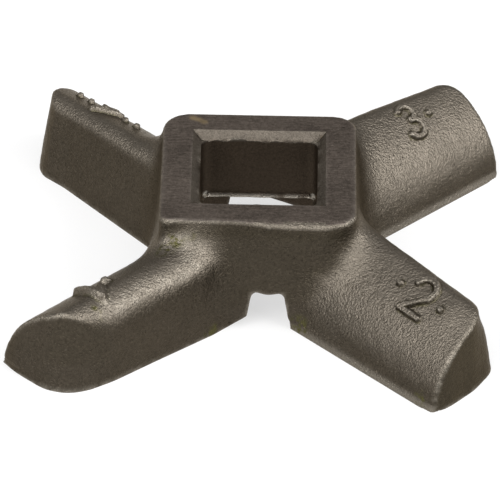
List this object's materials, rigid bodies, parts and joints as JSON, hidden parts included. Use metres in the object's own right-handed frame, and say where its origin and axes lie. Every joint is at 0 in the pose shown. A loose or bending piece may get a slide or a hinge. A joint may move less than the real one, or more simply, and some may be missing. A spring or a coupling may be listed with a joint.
{
  "type": "meat grinder knife",
  "caption": "Cast steel meat grinder knife with sloped blades round a raised hub, driven through a square hole with a sloped lead-in.",
  "frame": {"origin": "on the square hole's axis, in the plane of the blades' ground cutting faces", "axes": "+Z along the square hole's axis towards the hub's top face; X and Y square to the hub's sides"},
  "size_m": [0.0536, 0.0536, 0.0131],
  "materials": {
    "cast_steel": "dark grey-brown cast skin with a fine grain and a satin sheen, ground smooth on the hub's top face, the cutting faces and the blade ends"
  },
  "bodies": {
    "root": {"knife": "cast_steel"}
  },
  "joints": []
}
